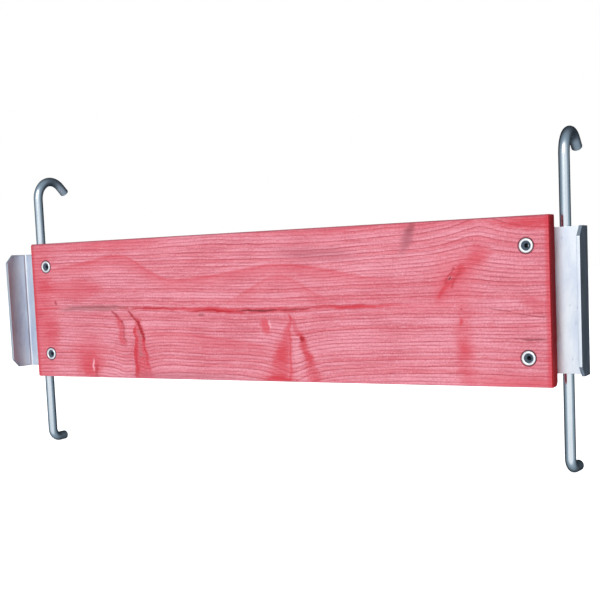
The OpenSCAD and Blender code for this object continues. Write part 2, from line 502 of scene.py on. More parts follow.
@dataclass(frozen=True)
class StainedSpruce(Finish):
    """Flat-sawn spruce with its pith near the front face, under a thin red stain that has weathered."""

    slot = "stained_spruce"
    half_length: float = 300.0
    half_height: float = 75.0
    rivet_x: float = 279.0
    rivet_z: float = 49.0
    crush_r: float = 7.3
    pith_left: float = 2.6
    pith_middle: float = -3.4
    pith_right: float = -1.2
    pith_depth: float = 0.8
    ring_gap: float = 3.6
    roughness: float = 0.6
    relief: float = 0.14
    specular: float = 0.12
    ring_slowing: float = 3.2
    ring_slowing_r: float = 32.0

    # how fast each noise changes per millimetre: along the grain, through the board and across the grain
    FRAY = (0.14, 0.6, 0.6)
    FIBRE = (0.03, 1.5, 1.5)
    CLOUD = (0.012, 0.05, 0.035)
    BAND = (0.004, 0.12, 0.19)
    MOTTLE = (0.16, 0.5, 0.4)
    WANDER = (0.006, 0.015, 0.02)
    WOBBLE = (0.03, 0.2, 0.16)
    PORES = (0.2, 0.9, 0.9)
    WARP = (0.04, 0.1, 0.08)
    BAND_SHIFT = 7.0
    GRIT_SCALE = 0.55
    # how far the marks are pushed about, in millimetres
    WARP_REACH = (11.0, 2.0, 5.0)

    SWELLS = (
        Swell(x=-174, width=10, gain=0.05, up=False),
        Swell(x=-148, width=15, gain=0.09, up=False, lean=-0.08),
        Swell(x=44, width=24, gain=0.2, up=False, lean=0.1),
        Swell(x=212, width=26, gain=0.16, up=True, lean=0.35),
        Swell(x=-60, width=60, gain=0.04, up=True),
    )

    SPIKES = (
        # the short grown-over branch on the left
        Spike((-186, 0, -3), (-174, 0, -13), 1.6, 2.2, Tint.DEEP, 0.7, 0.9),
        Spike((-174, 0, -13), (-170, 0, -35), 2.4, 2.0, Tint.DEEP, 0.55, 1.0, specks=0.9),
        Spike((-178, 0, -12), (-174, 1, -36), 4.5, 5.0, Tint.BRIGHT, 0.75, 1.0, specks=0.9),
        # the long one beside it, with dark edges and a dusty middle
        Spike((-152, 0, -14), (-148, 0, -78), 6.5, 12.0, Tint.BRIGHT, 0.75, 0.7, specks=0.8),
        Spike((-157, 0, -22), (-156, 0, -78), 2.6, 4.0, Tint.RED, 0.85, 0.8, specks=0.7),
        Spike((-151, 0, -24), (-150, 0, -50), 2.0, 2.6, Tint.DUSTY, 0.6, 0.9),
        Spike((-164, 0, -3), (-151, 0, -15), 2.0, 2.8, Tint.DEEP, 0.75, 0.9, specks=0.8),
        Spike((-151, 0, -15), (-145, 0, -34), 2.6, 2.4, Tint.DEEP, 0.9, 0.8),
        Spike((-145, 0, -34), (-141, 0, -60), 2.2, 2.2, Tint.RED, 0.8, 1.0, specks=0.6),
        Spike((-141, 0, -52), (-136, 0, -78), 2.0, 5.0, Tint.BRIGHT, 0.7, 1.0, specks=0.6),
        # the two arms under the middle
        Spike((37, 0, -8), (49, 0, -30), 3.0, 4.4, Tint.RED, 0.45, 1.0, specks=0.9),
        Spike((49, 0, -30), (57, 0, -50), 5.0, 6.4, Tint.RED, 0.75, 1.0, specks=0.9),
        Spike((57, 0, -50), (64, 1, -78), 6.4, 11.0, Tint.RED, 0.55, 1.0, specks=0.9),
        Spike((38, 0, -10), (36, 0, -78), 1.4, 2.4, Tint.RED, 0.6, 1.0),
        Spike((36, 0, -18), (22, 1, -78), 4.0, 20.0, Tint.BRIGHT, 0.75, 1.0, specks=0.3),
        # the slanting knot on the right
        Spike((196, 1, 6), (236, 1, 44), 8.0, 13.0, Tint.BRIGHT, 0.6, 1.0, specks=0.5),
        Spike((196, 0, 6), (209, 0, 20), 2.6, 4.2, Tint.RED, 0.9, 1.0, specks=0.7),
        Spike((209, 0, 20), (219, 0, 32), 6.4, 5.0, Tint.RED, 0.85, 0.8, specks=0.9),
        Spike((205, 0, 18), (211, 0, 32), 1.6, 1.6, Tint.DEEP, 0.75, 0.9),
        Spike((211, 0, 14), (217, 0, 30), 1.6, 1.6, Tint.DEEP, 0.75, 0.9),
        Spike((-267, -2, 8), (-268, 5, 9), 2.8, 2.8, Tint.DEEP, 0.75),
        Spike((217, -2, -5), (217, 4, -6), 1.5, 1.4, Tint.DEEP, 0.8),
        # two small knots that only reach the back
        Spike((-70, 8, 6), (-74, 20, 31), 3.5, 5.5, Tint.DEEP, 0.8, specks=0.8),
        Spike((128, 8, -4), (133, 20, -36), 3.0, 4.6, Tint.DEEP, 0.8, specks=0.8),
    )

    STAINS = (
        # the cracked and weathered heart line
        Stain(-284, 2.4, 30, 1.8, Tint.RED, 0.7, soft=1.0),
        Stain(-212, 1.6, 56, 3.6, Tint.DUSTY, 0.9, soft=0.6),
        Stain(-205, 2.6, 52, 1.2, Tint.BROWN, 0.5),
        Stain(-130, 0.2, 54, 3.0, Tint.RED, 0.75, tilt=-0.8, soft=1.0),
        Stain(-133, 0.5, 46, 1.2, Tint.DEEP, 0.6, tilt=-0.8),
        Stain(-56, -2.2, 62, 3.6, Tint.RED, 0.9, tilt=-1.6, soft=0.9),
        Stain(-48, -3.4, 44, 1.0, Tint.DEEP, 0.7, tilt=-1.0),
        Stain(20, -3.2, 70, 3.4, Tint.RED, 0.8, tilt=0.6, soft=0.9),
        Stain(3, -3.5, 34, 1.1, Tint.SOOT, 0.8, tilt=-0.2),
        Stain(46, -2.6, 20, 1.0, Tint.SOOT, 0.6, tilt=2),
        Stain(90, -1.0, 36, 1.1, Tint.SOOT, 0.6, tilt=1.4),
        Stain(108, -1.2, 62, 3.0, Tint.RED, 0.85, soft=0.9),
        Stain(176, -2.4, 60, 8.0, Tint.BRIGHT, 0.35, soft=1.0),
        # redder and paler patches of the front face
        Stain(-293, -4, 8, 7, Tint.DEEP, 0.5, soft=1.0),
        Stain(-290, 0, 30, 120, Tint.BRIGHT, 0.65, soft=1.0),
        Stain(-275, -26, 14, 24, Tint.RED, 0.5, soft=1.0),
        Stain(-222, -62, 22, 22, Tint.RED, 0.8, tilt=8, soft=1.0),
        Stain(-224, -52, 32, 30, Tint.BRIGHT, 0.5, soft=1.0),
        Stain(-212, -68, 3, 12, Tint.DEEP, 0.5, soft=1.0),
        Stain(-217, -61, 1.8, 8, Tint.CHALK, 0.9, tilt=6),
        Stain(-242, 23, 42, 11, Tint.BRIGHT, 0.5, soft=0.35),
        Stain(-282, 27, 16, 10, Tint.RED, 0.45, soft=1.0),
        Stain(26, -46, 12, 16, Tint.RED, 0.7, soft=1.0),
        Stain(22, -73, 26, 7, Tint.RED, 0.9, soft=1.0),
        Stain(45, -50, 4.0, 24, Tint.CHALK, 0.15, tilt=6),
        Stain(49, -32, 3.4, 4, Tint.DEEP, 0.85),
        Stain(9, -19, 6, 10, Tint.BRIGHT, 0.9, tilt=15),
        Stain(14, -18, 1.4, 5.5, Tint.CHALK, 0.7, tilt=5),
        Stain(-68, -7, 5, 2, Tint.BROWN, 0.5),
        Stain(232, 38, 14, 8, Tint.RED, 0.4, soft=1.0),
        Stain(210, 22, 30, 34, Tint.BRIGHT, 0.5, tilt=-30, soft=1.0),
        Stain(209.5, 22.5, 2.2, 3.6, Tint.DUSTY, 0.7, tilt=-24),
        Stain(209.5, 22.5, 0.8, 2.6, Tint.SOOT, 0.95, tilt=-24, soft=0.5),
        Stain(218, -17, 3, 5, Tint.RED, 0.9, soft=1.0),
        Stain(220, -34, 11, 50, Tint.BRIGHT, 0.5, soft=1.0),
        Stain(219, -42, 9, 12, Tint.RED, 0.55, soft=1.0),
        Stain(223, -66, 14, 12, Tint.RED, 0.35, soft=1.0),
        Stain(286, -1, 14, 6, Tint.RED, 0.35, tilt=-8, soft=0.6),
        Stain(283, -33, 15, 1.0, Tint.BROWN, 0.9, soft=0.6),
        Stain(255, -7, 16, 0.8, Tint.BROWN, 0.5, tilt=-12),
        Stain(284, -12, 20, 0.8, Tint.BROWN, 0.6, tilt=-3),
        Stain(284, 69, 44, 9, Tint.RED, 0.8, soft=1.0),
        Stain(270, -74, 70, 12, Tint.BRIGHT, 0.7, soft=1.0),
        Stain(120, 76, 260, 9, Tint.BRIGHT, 0.6, soft=1.0),
        Stain(-190, 72, 110, 12, Tint.BRIGHT, 0.6, soft=1.0),
        Stain(166, 60, 8, 19, Tint.SMUDGE, 0.95, tilt=-22, soft=1.0),
        Stain(171, 70, 6, 8, Tint.BROWN, 0.5, tilt=-22, soft=1.0),
        Stain(70, 50, 60, 9, Tint.SMUDGE, 0.55, tilt=-4, soft=1.0),
        Stain(-298, 70, 5, 5, Tint.DUSTY, 0.8),
        Stain(-100, -72, 110, 7, Tint.SMUDGE, 0.5, soft=1.0),
        # run-off and handling marks on the back
        Stain(-235, -20, 40, 26, Tint.SMUDGE, 0.45, y=16, soft=1.0),
        Stain(120, 30, 90, 16, Tint.BRIGHT, 0.4, y=16, soft=1.0),
        Stain(20, -4, 120, 10, Tint.CHALK, 0.35, y=16, soft=1.0),
        Stain(-60, -52, 70, 9, Tint.DUSTY, 0.4, y=16, soft=1.0),
        Stain(190, -30, 26, 1.0, Tint.SOOT, 0.7, y=16),
    )

    # the edges of old damp patches: points along the board and up it
    TIDE_LEFT = ((-300, 45), (-282, 45), (-225, 51), (-168, 56.5), (-132, 39), (-110, 30.5))
    TIDE_RIGHT = ((-66, 31.5), (0, 39), (24, 41.5), (87, 33), (130, 25), (195, 25))
    INNER_TIDE = ((-300, 0), (-60, -4), (-20, 12), (27, 29), (75, 8), (120, -10))
    LOWER_TIDE = ((-300, -27), (-150, -26), (-90, -27), (-45, -32), (0, -39), (60, -52))
    TIDES = (
        ((*TIDE_LEFT, *TIDE_RIGHT), (-290, -240), (200, 60), 0.6),
        (INNER_TIDE, (-40, -15), (90, 70), 0.4),
        (LOWER_TIDE, (-150, -125), (40, -20), 0.45),
    )

    def shade(self, graph: Graph) -> Value:
        """Fills the graph: rings, grown-over branches, patches, tide lines, edges and end grain."""
        place = self.place(graph)
        spot = graph.split(place)
        fray = self._along(graph, spot, self.FRAY, 4.0, 0.7) - 0.5
        ring, tone, luck = self._rings(graph, spot)
        fibre = self._along(graph, spot, self.FIBRE, 4.0, 0.65)
        cloud = self._along(graph, spot, self.CLOUD, 4.0, 0.62)
        x, y, z = (part * scale for part, scale in zip(spot, self.BAND))
        band = graph.noise(graph.xyz(x, y, z + self.BAND_SHIFT))
        mottle = self._along(graph, spot, self.MOTTLE, 2.0, 0.6)
        grit = graph.noise(place, self.GRIT_SCALE, 3.0, 0.7)

        colour = Tint.PALE.colour
        for mask, tint in (
            (cloud.smooth(0.35, 0.66), Tint.ROSE),
            (luck.smooth(0.55, 1.0) * 0.45, Tint.BRIGHT),
            (band.smooth(0.48, 0.8) * 0.45, Tint.BRIGHT),
            (mottle.smooth(0.52, 0.8) * 0.45, Tint.BRIGHT),
            (mottle.smooth(0.46, 0.2) * 0.5, Tint.CHALK),
            (ring, Tint.LINE),
            (fibre.smooth(0.48, 0.72) * 0.6, Tint.LINE),
            (fibre.smooth(0.48, 0.27) * 0.6, Tint.CHALK),
            (grit.smooth(0.5, 0.75) * 0.6, Tint.LINE),
            (grit.smooth(0.48, 0.24) * 0.6, Tint.CHALK),
        ):
            colour = graph.mix(mask, colour, tint.colour)
        colour = self._tide(graph, spot, fray, colour)
        warped = self._warped(graph, place)
        for mark in (*self.SPIKES, *self.STAINS):
            colour = mark.lay(graph, warped, fray, colour)
        colour = graph.mix(ring * 0.7, colour, Tint.LINE.colour)
        colour = graph.mix(fibre.smooth(0.5, 0.28) * 0.35, colour, Tint.PALE.colour)
        colour, end = self._edges(graph, spot, tone, fibre, colour)

        height = fibre * 0.5 + ring * 0.5
        rough = fibre * 0.16 + ring * -0.08 + end * 0.15 + (self.roughness - 0.08)
        inputs = {
            "Base Color": colour,
            "Roughness": rough,
            "Specular IOR Level": self.specular,
            "Normal": self.bump(graph, height, self.relief),
        }
        return graph.node("ShaderNodeBsdfPrincipled", None, inputs)["BSDF"]

    @staticmethod
    def _along(graph: Graph, spot: Spot, scales: Point, detail: float = 2.0, rough: float = 0.5) -> Value:
        """Noise that is stretched along the grain: its change per millimetre each way, and its detail."""
        x, y, z = (part * scale for part, scale in zip(spot, scales))
        return graph.noise(graph.xyz(x, y, z), detail=detail, rough=rough)

    def _warped(self, graph: Graph, place: Value) -> Value:
        """The point being shaded, pushed about so that marks are ragged along the grain."""
        stretched = graph.vector("MULTIPLY", place, self.WARP)["Vector"]
        push = graph.noises(stretched, detail=3.0, rough=0.45)["Color"]
        centred = graph.vector("SUBTRACT", push, HALVES)["Vector"]
        return graph.vector("MULTIPLY_ADD", centred, self.WARP_REACH, place)["Vector"]

    def _rings(self, graph: Graph, spot: Spot) -> tuple[Value, Value, Value]:
        """The growth rings about the pith.

        Args:
            graph: The graph to add to.
            spot: The parts of the point being shaded.

        Returns:
            The strength of the dark late wood, the tone across one ring, and each ring's own chance.
        """
        x, y, z = spot
        fall = x.smooth(-290, 15) * (self.pith_middle - self.pith_left)
        rise = x.smooth(30, 160) * (self.pith_right - self.pith_middle)
        wander = self._along(graph, spot, self.WANDER) - 0.5
        wobble = self._along(graph, spot, self.WOBBLE, 3.0, 0.6) - 0.5
        height = z - (fall + rise + self.pith_left) + wander * 8 + wobble * 2.2
        depth = y - self.pith_depth
        radius = (height * height + depth * depth).math("SQRT")
        swell: Number = 0.0
        for rule in self.SWELLS:
            offset = (x - height * rule.lean - rule.x) / rule.width
            side = height.smooth(-1, 9) if rule.up else height.smooth(1, -9)
            swell = side * rule.gain / (offset * offset + 1) + swell
        grown = radius * (1 - swell)
        count = grown / self.ring_gap + self.ring_slowing * grown / (grown + self.ring_slowing_r)
        tone = count.math("FRACT")
        number = count.math("FLOOR")
        luck = graph.node("ShaderNodeTexWhiteNoise", {"noise_dimensions": "1D"}, {"W": number})["Value"]
        broken = graph.noise(graph.xyz(x * 0.018, number * 3.7, 0.0), detail=3.0, rough=0.6)
        late = tone.smooth(0.35, 0.9) * tone.smooth(1.0, 0.93)
        strength = luck * 0.4 + broken.smooth(0.3, 0.7) * 0.4 + 0.12
        return late * late * strength * 0.85, tone, luck

    def _tide(self, graph: Graph, spot: Spot, fray: Value, colour: Value) -> Value:
        """Lays the edges of old damp patches over a colour.

        Args:
            graph: The graph to add to.
            spot: The parts of the point being shaded.
            fray: Noise about 0 along the grain.
            colour: The colour so far.

        Returns:
            The colour with the tide lines on it.
        """
        x, y, z = spot
        front = y.smooth(7, 1)
        for points, start, stop, strength in self.TIDES:
            above = z - graph.curve(x, -300, 300, points) + fray * 7
            line = abs(above).smooth(3.0, 0.0) * (fray * 2.4 + 0.6) * strength
            damp = above.smooth(-18, -1) * above.smooth(1.5, -1.0) * (strength * 0.75)
            shown = front * x.smooth(*start) * x.smooth(*stop)
            colour = graph.mix(damp * shown, colour, Tint.BRIGHT.colour)
            colour = graph.mix(line * shown, colour, Tint.RED.colour)
        return colour

    def _edges(
        self, graph: Graph, spot: Spot, tone: Value, fibre: Value, colour: Value
    ) -> tuple[Value, Value]:
        """Darkens the long edges, paints shade in the dish round each rivet head, and soaks the ends.

        Args:
            graph: The graph to add to.
            spot: The parts of the point being shaded.
            tone: The tone across one ring.
            fibre: Fine noise along the grain.
            colour: The colour so far.

        Returns:
            The colour, and the mask of the end grain.
        """
        x, y, z = spot
        # Darker along the top and bottom edges.
        long_edge_darkening = abs(z).smooth(self.half_height - 1.6, self.half_height - 0.5) * fibre.smooth(0.2, 0.6)
        colour = graph.mix(long_edge_darkening * 0.75, colour, Tint.SMUDGE.colour)
        # Painted shade: a dark ring on the wood in the dish round each rivet head, where the head sits.
        aside = graph.xyz(abs(x) - self.rivet_x, 0.0, abs(z) - self.rivet_z)
        from_rivet = graph.vector("LENGTH", aside)["Value"]
        seat = from_rivet.smooth(self.crush_r + 0.9, self.crush_r - 0.3)
        colour = graph.mix(seat * 0.7, colour, Tint.SOOT.colour)
        soaked = abs(x).smooth(self.half_length - 6, self.half_length - 2.0)
        colour = graph.mix(soaked * 0.6, colour, Tint.RED.colour)
        end = abs(x).smooth(self.half_length - 0.9, self.half_length - 0.3)
        pores = self._along(graph, spot, self.PORES)
        shaded = (y.smooth(1, 9) * 0.75 + tone.smooth(0.4, 0.95) * 0.2).math("MINIMUM", 1.0)
        grain = graph.mix(shaded, Tint.END.colour, Tint.END_DARK.colour)
        grain = graph.mix(pores.smooth(0.64, 0.7) * y.smooth(7, 2) * 0.8, grain, Tint.FRESH.colour)
        return graph.mix(end, colour, grain), end


@dataclass(frozen=True)
class Galvanised(Finish):
    """Hot-dip zinc on steel: cool grey with spangle, smudges and duller patches."""

    slot: str = "galvanised_sheet"
    bright: tuple[int, int, int] = (240, 246, 253)
    dull: tuple[int, int, int] = (216, 226, 242)
    stain: tuple[int, int, int] = (146, 154, 182)
    spangle: float = 0.07
    spangle_gap: float = 7.0
    roughness: float = 0.34
    stretch: Point = (1.0, 1.0, 0.35)
    relief: float = 0.02
    metallic: float = 1.0
    # the depths in mm between which painted shade darkens a rivet's bore and the feet of its heads
    bore: tuple[float, float] | None = None
    bore_painted_shade: tuple[float, float, float, float] = (0.016, 0.042, 0.075, 1.0)
    chalky: tuple[Point, Point] | None = None
    chalky_fade: Point = (0.5, 0.5, 0.5)
    chalk: tuple[int, int, int] = (206, 212, 220)

    WARP_REACH = (3.0, 3.0, 3.0)

    def shade(self, graph: Graph) -> Value:
        """Fills the graph: spangle, cloudy oxide, specks and runs, with painted shade down a rivet's bore.
        """
        point = self.place(graph)
        place = graph.vector("MULTIPLY", point, self.stretch)["Vector"]
        warp = graph.noises(place, 0.2)["Color"]
        warped = graph.vector("MULTIPLY_ADD", warp, self.WARP_REACH, place)["Vector"]
        inputs = {"Vector": warped, "Scale": 1 / self.spangle_gap}
        cell = graph.split(graph.node("ShaderNodeTexVoronoi", None, inputs)["Color"])[0]
        cloud = graph.noise(place, 0.05, 4.0, 0.6)
        fine = graph.noise(place, 0.9, 3.0, 0.6)
        speck = graph.noise(place, 0.4, 2.0, 0.5).smooth(0.7, 0.78)

        stain = linear(*self.stain)
        colour = graph.mix(cloud.smooth(0.35, 0.7), linear(*self.bright), linear(*self.dull))
        for mask in (cell * self.spangle, speck * 0.35, fine.smooth(0.55, 0.8) * 0.12):
            colour = graph.mix(mask, colour, stain)
        rough = cell * self.spangle + fine * 0.04 + cloud * 0.14 + speck * 0.1 + (self.roughness - 0.1)
        metallic: Number = self.metallic
        # Painted shade: between the two depths, the bore wall and the foot of the front head take a dark
        # navy colour for the shade inside and under the head. The same band also darkens the rim of each
        # back head.
        if self.bore:
            front, back = self.bore
            _, depth, _ = graph.split(point)
            inside = depth.smooth(front, front + 1.0) * depth.smooth(back, back - 1.0)
            colour = graph.mix(inside * 0.97, colour, self.bore_painted_shade)
            rough = rough + inside * 0.3
            metallic = (1 - inside) * self.metallic
        if self.chalky:
            worn = self._worn(graph, point) * (cloud * 0.5 + 0.6)
            powder = graph.mix(fine.smooth(0.4, 0.7) * 0.35, linear(*self.chalk), stain)
            colour = graph.mix(worn * 0.9, colour, powder)
            rough = rough + worn * 0.2
            metallic = (1 - worn * 0.8) * self.metallic
        height = fine * 0.5 + cell * 0.2 + speck * 0.3
        inputs = {
            "Base Color": colour,
            "Metallic": metallic,
            "Roughness": rough,
            "Normal": self.bump(graph, height, self.relief),
        }
        return graph.node("ShaderNodeBsdfPrincipled", None, inputs)["BSDF"]

    def _worn(self, graph: Graph, point: Value) -> Value:
        """The mask of the chalky zinc: inside its box, the same at both ends of the board."""
        x, y, z = graph.split(point)
        across, deep, upright = (
            part.smooth(low - fade, low + fade) * part.smooth(high + fade, high - fade)
            for part, low, high, fade in zip((abs(x), y, z), *self.chalky, self.chalky_fade)
        )
        return across * deep * upright


BAR_ZINC = Galvanised(
    slot="galvanised_bar",
    bright=(226, 236, 244),
    dull=(206, 218, 228),
    stain=(140, 152, 166),
    spangle=0.0,
    roughness=0.23,
    stretch=(1.0, 1.0, 0.2),
    relief=0.003,
    chalky=((0.0, 26.5, -112.0), (400.0, 34.0, 100.0)),
    chalky_fade=(0.5, 1.8, 22.0),
)
RIVET_ZINC = Galvanised(
    slot="zinc_rivet",
    bright=(250, 252, 254),
    dull=(236, 240, 246),
    stain=(170, 178, 190),
    spangle=0.0,
    roughness=0.3,
    relief=0.006,
    metallic=0.7,
    # painted shade inside the bores and round the feet of the heads, between these depths
    bore=(-0.75, 20.2),
)
WELD_METAL = Galvanised(
    slot="weld_metal",
    bright=(206, 212, 222),
    dull=(166, 174, 186),
    stain=(112, 112, 116),
    spangle=0.1,
    spangle_gap=3.0,
    roughness=0.46,
    relief=0.1,
    metallic=0.45,
)


@dataclass(frozen=True)
class StudioFloor(Finish):
    """A pale lit floor."""

    slot: str = "studio_floor"
    glow: float = 0.85

    def shade(self, graph: Graph) -> Value:
        """Fills the graph: one matt white with a soft glow."""
        inputs = {
            "Base Color": (0.9, 0.9, 0.9, 1),
            "Roughness": 0.9,
            "Emission Color": (1, 1, 1, 1),
            "Emission Strength": self.glow,
        }
        return graph.node("ShaderNodeBsdfPrincipled", None, inputs)["BSDF"]


@dataclass(frozen=True)
class StudioWall(Finish):
    """An evenly lit white backdrop."""

    slot: str = "studio_wall"

    def shade(self, graph: Graph) -> Value:
        """Fills the graph: plain white light."""
        return graph.node("ShaderNodeEmission", None, {"Color": (1, 1, 1, 1), "Strength": 1.0})["Emission"]


# ---- meshes ----


def skin(solid: bmesh.types.BMesh, rings: Sequence[Sequence[bmesh.types.BMVert]]) -> None:
    """Joins rings of as many points each into a closed solid with its faces outwards."""
    count = len(rings[0])
    for first, second in zip(rings, rings[1:]):
        for i in range(count):
            j = (i + 1) % count
            solid.faces.new((first[i], first[j], second[j], second[i]))
    solid.faces.new(rings[0])
    solid.faces.new(rings[-1])
    bmesh.ops.recalc_face_normals(solid, faces=solid.faces)


def lathe(outline: Outline, centre: Vector, steps: int = 64) -> bmesh.types.BMesh:
    """Turns an outline about a line along Y.

    Args:
        outline: Pairs of radius and y from end to end, in millimetres; the ends are closed flat.
        centre: A point on the line.
        steps: Faces round the turn.

    Returns:
        The closed solid.
    """
    solid = bmesh.new()
    rings = []
    for radius, y in outline:
        turns = [2 * math.pi * i / steps for i in range(steps)]
        ring = [(centre.x + radius * math.cos(a), y, centre.z + radius * math.sin(a)) for a in turns]
        rings.append([solid.verts.new(Vector(p) * MM) for p in ring])
    skin(solid, rings)
    return solid


def as_object(solid: bmesh.types.BMesh, name: str) -> bpy.types.Object:
    """Puts a bmesh into a new object at the origin.

    Args:
        solid: The mesh, in metres; it is freed.
        name: The object's name.

    Returns:
        The object, linked to the scene.
    """
    mesh = bpy.data.meshes.new(name)
    solid.to_mesh(mesh)
    solid.free()
    return placed(mesh)


def placed(mesh: bpy.types.Mesh) -> bpy.types.Object:
    """Puts a mesh into a new object of its name, at the origin and linked to the scene."""
    made = bpy.data.objects.new(mesh.name, mesh)
    bpy.context.scene.collection.objects.link(made)
    return made


def settle(made: bpy.types.Object) -> None:
    """Turns an object's modifiers into its plain mesh."""
    bpy.context.view_layer.update()
    depsgraph = bpy.context.evaluated_depsgraph_get()
    plain = bpy.data.meshes.new_from_object(made.evaluated_get(depsgraph), depsgraph=depsgraph)
    made.modifiers.clear()
    old = made.data
    made.data = plain
    plain.name = made.name
    bpy.data.meshes.remove(old)


def carve(made: bpy.types.Object, cutters: Sequence[bmesh.types.BMesh]) -> None:
    """Cuts closed solids out of an object.

    Args:
        made: The object to cut.
        cutters: The solids, in metres.
    """
    tools = [as_object(cutter, "cutter") for cutter in cutters]
    for tool in tools:
        cut = made.modifiers.new("cut", "BOOLEAN")
        cut.operation = "DIFFERENCE"
        cut.solver = "EXACT"
        cut.object = tool
    settle(made)
    for tool in tools:
        bpy.data.objects.remove(tool)


def smooth_shade(made: bpy.types.Object, angle_deg: float = 35.0) -> None:
    """Smooths the shading of an object up to an angle, with large flat faces kept flat."""
    mesh = made.data
    mesh.shade_smooth()
    mesh.set_sharp_from_angle(angle=math.radians(angle_deg))
    weigh = made.modifiers.new("weigh", "WEIGHTED_NORMAL")
    weigh.keep_sharp = True
    settle(made)


def hand_over(made: bpy.types.Object, finish: bpy.types.Material, nodes: Sequence[str]) -> None:
    """Dresses a finished piece and puts it in the place of its CAD nodes.

    Args:
        made: The piece.
        finish: Its material.
        nodes: The CAD nodes that it stands for.
    """
    if not made.data.materials:
        made.data.materials.append(finish)
    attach(made, BODY)
    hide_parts(*nodes)
    LOG.info("%s: %d faces, stands for %s", made.name, len(made.data.polygons), ", ".join(nodes))


# ---- the board ----


@dataclass
class Board:
    """The stained board, with dished seats for the front rivet heads."""

    box: Box
    rivets: Sequence[Box]
    front_round: float = 2.0
    back_round: float = 5.0
    back_round_top: float = 1.0
    arc_steps: int = 6
    station_gap: float = 10.0
    wear: float = 0.28
    hole_r: float = 5.1
    crush_r: float = 7.3
    sink: float = 0.8

    # how fast the wear of the corners changes per millimetre
    WEAR_SCALE = (0.05, 0.3, 0.1)
    # distance from the end, and how far the outline is drawn in there
    END_EASE = ((0.0, 0.55), (0.18, 0.2), (0.55, 0.0))
    # rim of a rivet's dish: how far past its radius, and how deep as a share of the sink
    DISH = ((0.12, 0.0), (-0.12, 0.3), (-0.35, 0.75), (-0.8, 1.0))
    DISH_FLARE = 0.55

    def section(self) -> list[tuple[Vector, Vector, float]]:
        """The outline of the board from its end.

        Returns:
            Points in Y and Z with their outward directions and how much wear they take.
        """
        low, high = self.box.low, self.box.high
        corners = (
            (low.y, low.z, self.front_round, 180),
            (high.y, low.z, self.back_round, 270),
            (high.y, high.z, self.back_round_top, 0),
            (low.y, high.z, self.front_round, 90),
        )
        middle = self.box.centre
        outline: list[tuple[Vector, Vector, float]] = []
        for y, z, radius, start in corners:
            inwards = (math.copysign(radius, middle.y - y), math.copysign(radius, middle.z - z))
            centre = Vector((y + inwards[0], z + inwards[1]))
            for step in range(self.arc_steps + 1):
                angle = math.radians(start + 90 * step / self.arc_steps)
                out = Vector((math.cos(angle), math.sin(angle)))
                bow = math.sin(math.pi * step / self.arc_steps)
                outline.append((centre + out * radius, out, bow))
        return self._subdivided(outline)

    def _subdivided(self, outline: list[tuple[Vector, Vector, float]]) -> list[tuple[Vector, Vector, float]]:
        """The outline with more points along its long straight sides."""
        dense = []
        for (point, out, bow), (next_point, next_out, _) in zip(outline, outline[1:] + outline[:1]):
            dense.append((point, out, bow))
            span = (next_point - point).length
            if (out - next_out).length < 1e-6 and span > 2 * self.station_gap:
                parts = round(span / self.station_gap)
                for part in range(1, parts):
                    dense.append((point.lerp(next_point, part / parts), out, 0.0))
        return dense

    def stations(self) -> list[tuple[float, float]]:
        """The places along X where the section stands, each with how far it is drawn in."""
        low, high = self.box.low.x, self.box.high.x
        inner = self.END_EASE[-1][0]
        parts = round((high - low) / self.station_gap)
        inside = [(low + (high - low) * i / parts, 0.0) for i in range(1, parts)]
        left = [(low + along, ease) for along, ease in self.END_EASE]
        right = [(high - along, ease) for along, ease in reversed(self.END_EASE)]
        return left + [s for s in inside if low + inner < s[0] < high - inner] + right

    def build(self) -> bpy.types.Object:
        """Builds the board's mesh.

        Returns:
            The board as an object.
        """
        solid = bmesh.new()
        rings = []
        for x, ease in self.stations():
            ring = []
            for point, out, bow in self.section():
                spot = (part * scale for part, scale in zip((x, *point), self.WEAR_SCALE))
                worn = 0.5 + noise.noise(Vector(spot))
                inset = ease + bow * self.wear * max(0.0, worn)
                place = point - out * inset
                ring.append(solid.verts.new(Vector((x, place.x, place.y)) * MM))
            rings.append(ring)
        skin(solid, rings)
        made = as_object(solid, "toe_board")
        carve(made, [lathe(self.seat(), rivet.centre) for rivet in self.rivets])
        smooth_shade(made)
        return made

    def seat(self) -> Outline:
        """The outline of the hole and the crushed dish round one rivet."""
        face = self.box.low.y
        dish = [(self.crush_r + wide, face + deep * self.sink) for wide, deep in self.DISH]
        hole = [(self.hole_r, face + self.sink), (self.hole_r, self.box.high.y + CUT_PAST)]
        return [(self.crush_r + self.DISH_FLARE, face - CUT_PAST), *dish, *hole]

    def dress(self, made: bpy.types.Object) -> None:
        """Gives the board its stained wood."""
        corner = self.rivets[-1].centre
        finish = StainedSpruce(
            half_length=self.box.size.x / 2,
            half_height=self.box.size.z / 2,
            rivet_x=abs(corner.x),
            rivet_z=abs(corner.z),
            crush_r=self.crush_r,
        )
        hand_over(made, finish.make(), ["board"])


# ---- end brackets ----


class Side(Enum):
    """The two ends of the board."""

    LEFT = -1
    RIGHT = 1

    @property
    def label(self) -> str:
        """The word that the CAD nodes of this end carry."""
        return self.name.lower()

    @property
    def foot_turn_deg(self) -> float:
        """How far the bar's foot at this end was bent out of square."""
        return -7.0 if self is Side.RIGHT else 0.0


